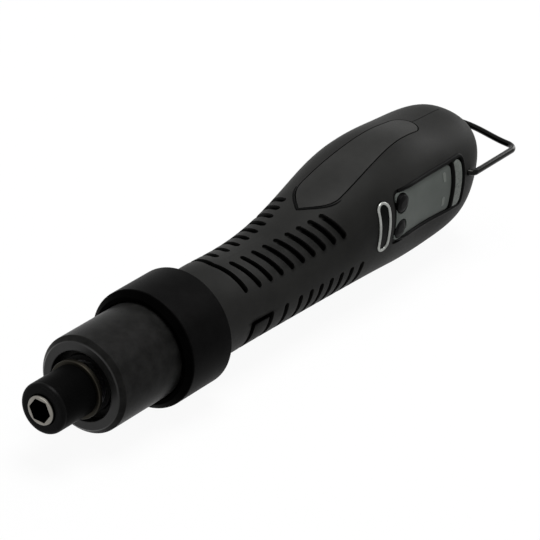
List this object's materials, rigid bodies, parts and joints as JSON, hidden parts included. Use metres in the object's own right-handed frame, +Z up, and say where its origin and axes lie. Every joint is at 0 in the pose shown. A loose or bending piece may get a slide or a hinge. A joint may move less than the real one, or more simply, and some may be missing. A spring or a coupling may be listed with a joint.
{
  "type": "electric screwdriver",
  "caption": "In-line electric screwdriver with a hex bit chuck, torque-setting ring and collar, ribbed grip, humped rear with a start lever, side control panel and wire hanging bail.",
  "frame": {"origin": "on the tool's axis, at the mouth of the hex bit socket", "axes": "+X forward out of the socket, +Y to the tool's left (the panel's side), +Z up"},
  "size_m": [0.2155, 0.0396, 0.0448],
  "materials": {
    "housing_black": "fine moulded grain",
    "collar_black": "smooth moulded",
    "ring_black": "smooth moulded",
    "sleeve_black": "blackened steel",
    "bare_steel": "machined",
    "bright_wire": "polished wire",
    "spring_steel": "drawn wire",
    "gear_steel": "cut teeth",
    "case_alloy": "die cast",
    "motor_zinc": "plated",
    "magnet_dark": "plated",
    "core_steel": "laminated",
    "copper": "wound wire",
    "gold_pin": "plated pins",
    "plate_grey": "bare satin plate",
    "border_black": "smooth",
    "button_black": "domed rubber-like",
    "clear_lens": "clear window",
    "grey_lens": "smoked window",
    "board_green": "circuit board",
    "switch_grey": "moulded"
  },
  "bodies": {
    "housing": {"clutch_spring": "spring_steel", "thrust_washer": "gear_steel", "clutch_pins": "gear_steel", "gear_case": "case_alloy", "clutch_case": "collar_black", "spindle_front_bearing": "gear_steel", "spindle_rear_bearing": "gear_steel", "motor_front_bearing": "gear_steel", "motor_rear_bearing": "gear_steel", "ring_gear": "gear_steel", "gear_cover": "case_alloy", "motor_can": "motor_zinc", "motor_end_cap": "switch_grey", "stator_core": "core_steel", "stator_coils": "copper", "left_shell": "housing_black", "right_shell": "housing_black", "lever_pin": "gear_steel", "lever_spring": "spring_steel", "start_switch": "switch_grey", "panel_bezel": "border_black", "legend_plate": "plate_grey", "front_lamp_lens": "clear_lens", "rear_lamp_lens": "grey_lens", "control_board": "board_green", "button_switches": "switch_grey", "panel_lamps": "clear_lens", "cord_inlet": "border_black", "inlet_nut": "case_alloy", "inlet_pins": "gold_pin", "shell_screws": "spring_steel"},
    "spindle": {"bit_holder": "bare_steel", "planet_pins": "gear_steel", "holder_circlip": "spring_steel", "bit_detent_ball": "gear_steel", "sleeve_spring": "spring_steel"},
    "chuck": {"chuck_sleeve": "sleeve_black", "sleeve_end_ring": "bare_steel"},
    "planet_1": {"planet_gear_1": "gear_steel"},
    "planet_2": {"planet_gear_2": "gear_steel"},
    "planet_3": {"planet_gear_3": "gear_steel"},
    "rotor": {"rotor_shaft": "gear_steel", "rotor_magnet": "magnet_dark", "sun_pinion": "gear_steel"},
    "seat": {"spring_seat": "gear_steel"},
    "ring": {"torque_ring": "ring_black"},
    "lever": {"start_lever": "housing_black"},
    "plunger": {"switch_plunger": "border_black"},
    "upper_key": {"upper_button": "button_black"},
    "lower_key": {"lower_button": "button_black"},
    "hanger": {"bail": "bright_wire"}
  },
  "joints": [
    {"name": "rotor_spin", "type": "hinge", "parent": "housing", "child": "rotor", "pos_m": [-0.0835, 0, 0], "axis": [1, 0, 0], "continuous": true},
    {"name": "spindle_spin", "type": "hinge", "parent": "housing", "child": "spindle", "pos_m": [-0.03, 0, 0], "axis": [1, 0, 0], "continuous": true},
    {"name": "planet_1_spin", "type": "hinge", "parent": "spindle", "child": "planet_1", "pos_m": [-0.05945, 0, 0.0066], "axis": [1, 0, 0], "continuous": true},
    {"name": "planet_2_spin", "type": "hinge", "parent": "spindle", "child": "planet_2", "pos_m": [-0.05945, -0.00572, -0.0033], "axis": [1, 0, 0], "continuous": true},
    {"name": "planet_3_spin", "type": "hinge", "parent": "spindle", "child": "planet_3", "pos_m": [-0.05945, 0.00572, -0.0033], "axis": [1, 0, 0], "continuous": true},
    {"name": "sleeve_slide", "type": "slide", "parent": "spindle", "child": "chuck", "axis": [-1, 0, 0], "range_m": [0, 0.0022], "stiffness_N_per_m": 800, "springref_m": -0.003, "deforming": ["sleeve_spring"]},
    {"name": "ring_turn", "type": "hinge", "parent": "seat", "child": "ring", "pos_m": [-0.03, 0, 0], "axis": [-1, 0, 0], "range_deg": [-180, 1080]},
    {"name": "ring_advance", "type": "slide", "parent": "housing", "child": "seat", "axis": [-1, 0, 0], "range_m": [-0.00076, 0.0046], "deforming": ["clutch_spring"]},
    {"name": "lever_press", "type": "hinge", "parent": "housing", "child": "lever", "pos_m": [-0.171, 0, 0.0206], "axis": [0, 1, 0], "range_deg": [0, 2], "stiffness_Nm_per_rad": 0.44, "springref_deg": -6.88, "deforming": ["lever_spring"]},
    {"name": "plunger_slide", "type": "slide", "parent": "housing", "child": "plunger", "axis": [0, 0, -1], "range_m": [0, 0.0014]},
    {"name": "upper_button_press", "type": "slide", "parent": "housing", "child": "upper_key", "axis": [0, -1, 0], "range_m": [0, 0.0006], "stiffness_N_per_m": 1500, "springref_m": -0.0006},
    {"name": "lower_button_press", "type": "slide", "parent": "housing", "child": "lower_key", "axis": [0, -1, 0], "range_m": [0, 0.0006], "stiffness_N_per_m": 1500, "springref_m": -0.0006},
    {"name": "bail_swing", "type": "hinge", "parent": "housing", "child": "hanger", "pos_m": [-0.1872, 0, 0.011], "axis": [0, 1, 0], "range_deg": [-35, 80]}
  ],
  "couplings": [
    {"joint": "spindle_spin", "follows": "rotor_spin", "ratio": 0.25},
    {"joint": "planet_1_spin", "follows": "rotor_spin", "ratio": -0.75},
    {"joint": "planet_2_spin", "follows": "rotor_spin", "ratio": -0.75},
    {"joint": "planet_3_spin", "follows": "rotor_spin", "ratio": -0.75},
    {"joint": "ring_advance", "follows": "ring_turn", "m_per_rad": 0.00023873},
    {"joint": "plunger_slide", "follows": "lever_press", "m_per_rad": 0.035}
  ]
}
